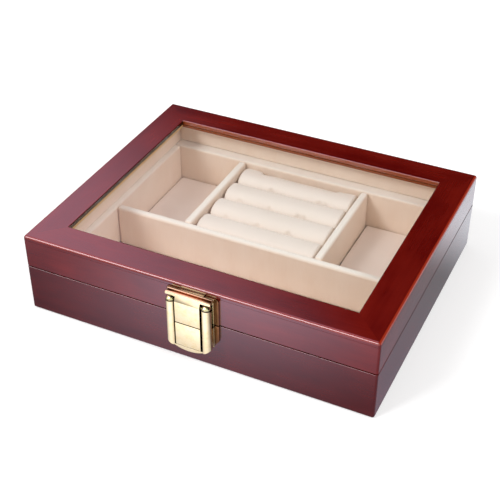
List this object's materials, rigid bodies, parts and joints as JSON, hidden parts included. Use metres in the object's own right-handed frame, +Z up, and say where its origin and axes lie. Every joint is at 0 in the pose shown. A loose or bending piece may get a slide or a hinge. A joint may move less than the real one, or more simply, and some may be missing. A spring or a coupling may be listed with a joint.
{
  "type": "jewelry box",
  "caption": "Low wooden jewelry box with a hinged glass-window lid, a flap clasp, and a velvet-lined tray with dividers and a bay of ring rolls.",
  "frame": {"origin": "the middle of the underside of the case, on the surface it stands on", "axes": "+X to the right along the front, +Y to the rear, +Z up"},
  "size_m": [0.25, 0.2164, 0.061],
  "materials": {
    "lacquered_wood": "glossy mahogany lacquer",
    "bare_wood": "bare",
    "bottom_board": "bare",
    "felt": "felt",
    "lining_velvet": "short-pile velvet",
    "roll_velvet": "short-pile velvet",
    "glass": "clear",
    "clasp_metal": "polished pale gold plate",
    "hinge_metal": "polished plate"
  },
  "bodies": {
    "base": {"base_front_board": "lacquered_wood", "base_rear_board": "lacquered_wood", "base_left_board": "lacquered_wood", "base_right_board": "lacquered_wood", "base_bottom_panel": "bottom_board", "base_felt_sheet": "felt", "base_lining_front": "lining_velvet", "base_lining_rear": "lining_velvet", "base_lining_left": "lining_velvet", "base_lining_right": "lining_velvet", "long_divider": "lining_velvet", "cross_divider_left": "lining_velvet", "cross_divider_right": "lining_velvet", "floor_pad_front": "lining_velvet", "floor_pad_left": "lining_velvet", "floor_pad_right": "lining_velvet", "ring_roll_tray": "lining_velvet", "ring_roll_1": "roll_velvet", "ring_roll_2": "roll_velvet", "ring_roll_3": "roll_velvet", "ring_roll_4": "roll_velvet", "clasp_base_plate": "clasp_metal", "clasp_catch": "clasp_metal", "clasp_base_screws": "clasp_metal", "hinge_base_leaf_left": "hinge_metal", "hinge_base_leaf_right": "hinge_metal", "hinge_pin_left": "hinge_metal", "hinge_pin_right": "hinge_metal", "hinge_base_screws": "hinge_metal"},
    "lid": {"lid_front_rail": "lacquered_wood", "lid_rear_rail": "lacquered_wood", "lid_left_rail": "lacquered_wood", "lid_right_rail": "lacquered_wood", "top_frame_front": "lacquered_wood", "top_frame_rear": "lacquered_wood", "top_frame_left": "lacquered_wood", "top_frame_right": "lacquered_wood", "glass_pane": "glass", "glass_bead_front": "bare_wood", "glass_bead_rear": "bare_wood", "glass_bead_left": "bare_wood", "glass_bead_right": "bare_wood", "lid_lining_front": "lining_velvet", "lid_lining_rear": "lining_velvet", "lid_lining_left": "lining_velvet", "lid_lining_right": "lining_velvet", "hinge_lid_leaf_left": "hinge_metal", "hinge_lid_leaf_right": "hinge_metal", "hinge_lid_screws": "hinge_metal", "clasp_lid_plate": "clasp_metal", "clasp_keeper": "clasp_metal", "clasp_lid_screws": "clasp_metal", "clasp_pin": "clasp_metal"},
    "clasp_flap": {"clasp_flap": "clasp_metal"}
  },
  "joints": [
    {"name": "lid_hinge", "type": "hinge", "parent": "base", "child": "lid", "pos_m": [0, 0.1035, 0.0365], "axis": [-1, 0, 0], "range_deg": [0, 95]},
    {"name": "clasp_hinge", "type": "hinge", "parent": "lid", "child": "clasp_flap", "pos_m": [0.002, -0.1078, 0.0523], "axis": [-1, 0, 0], "range_deg": [0, 100]}
  ]
}
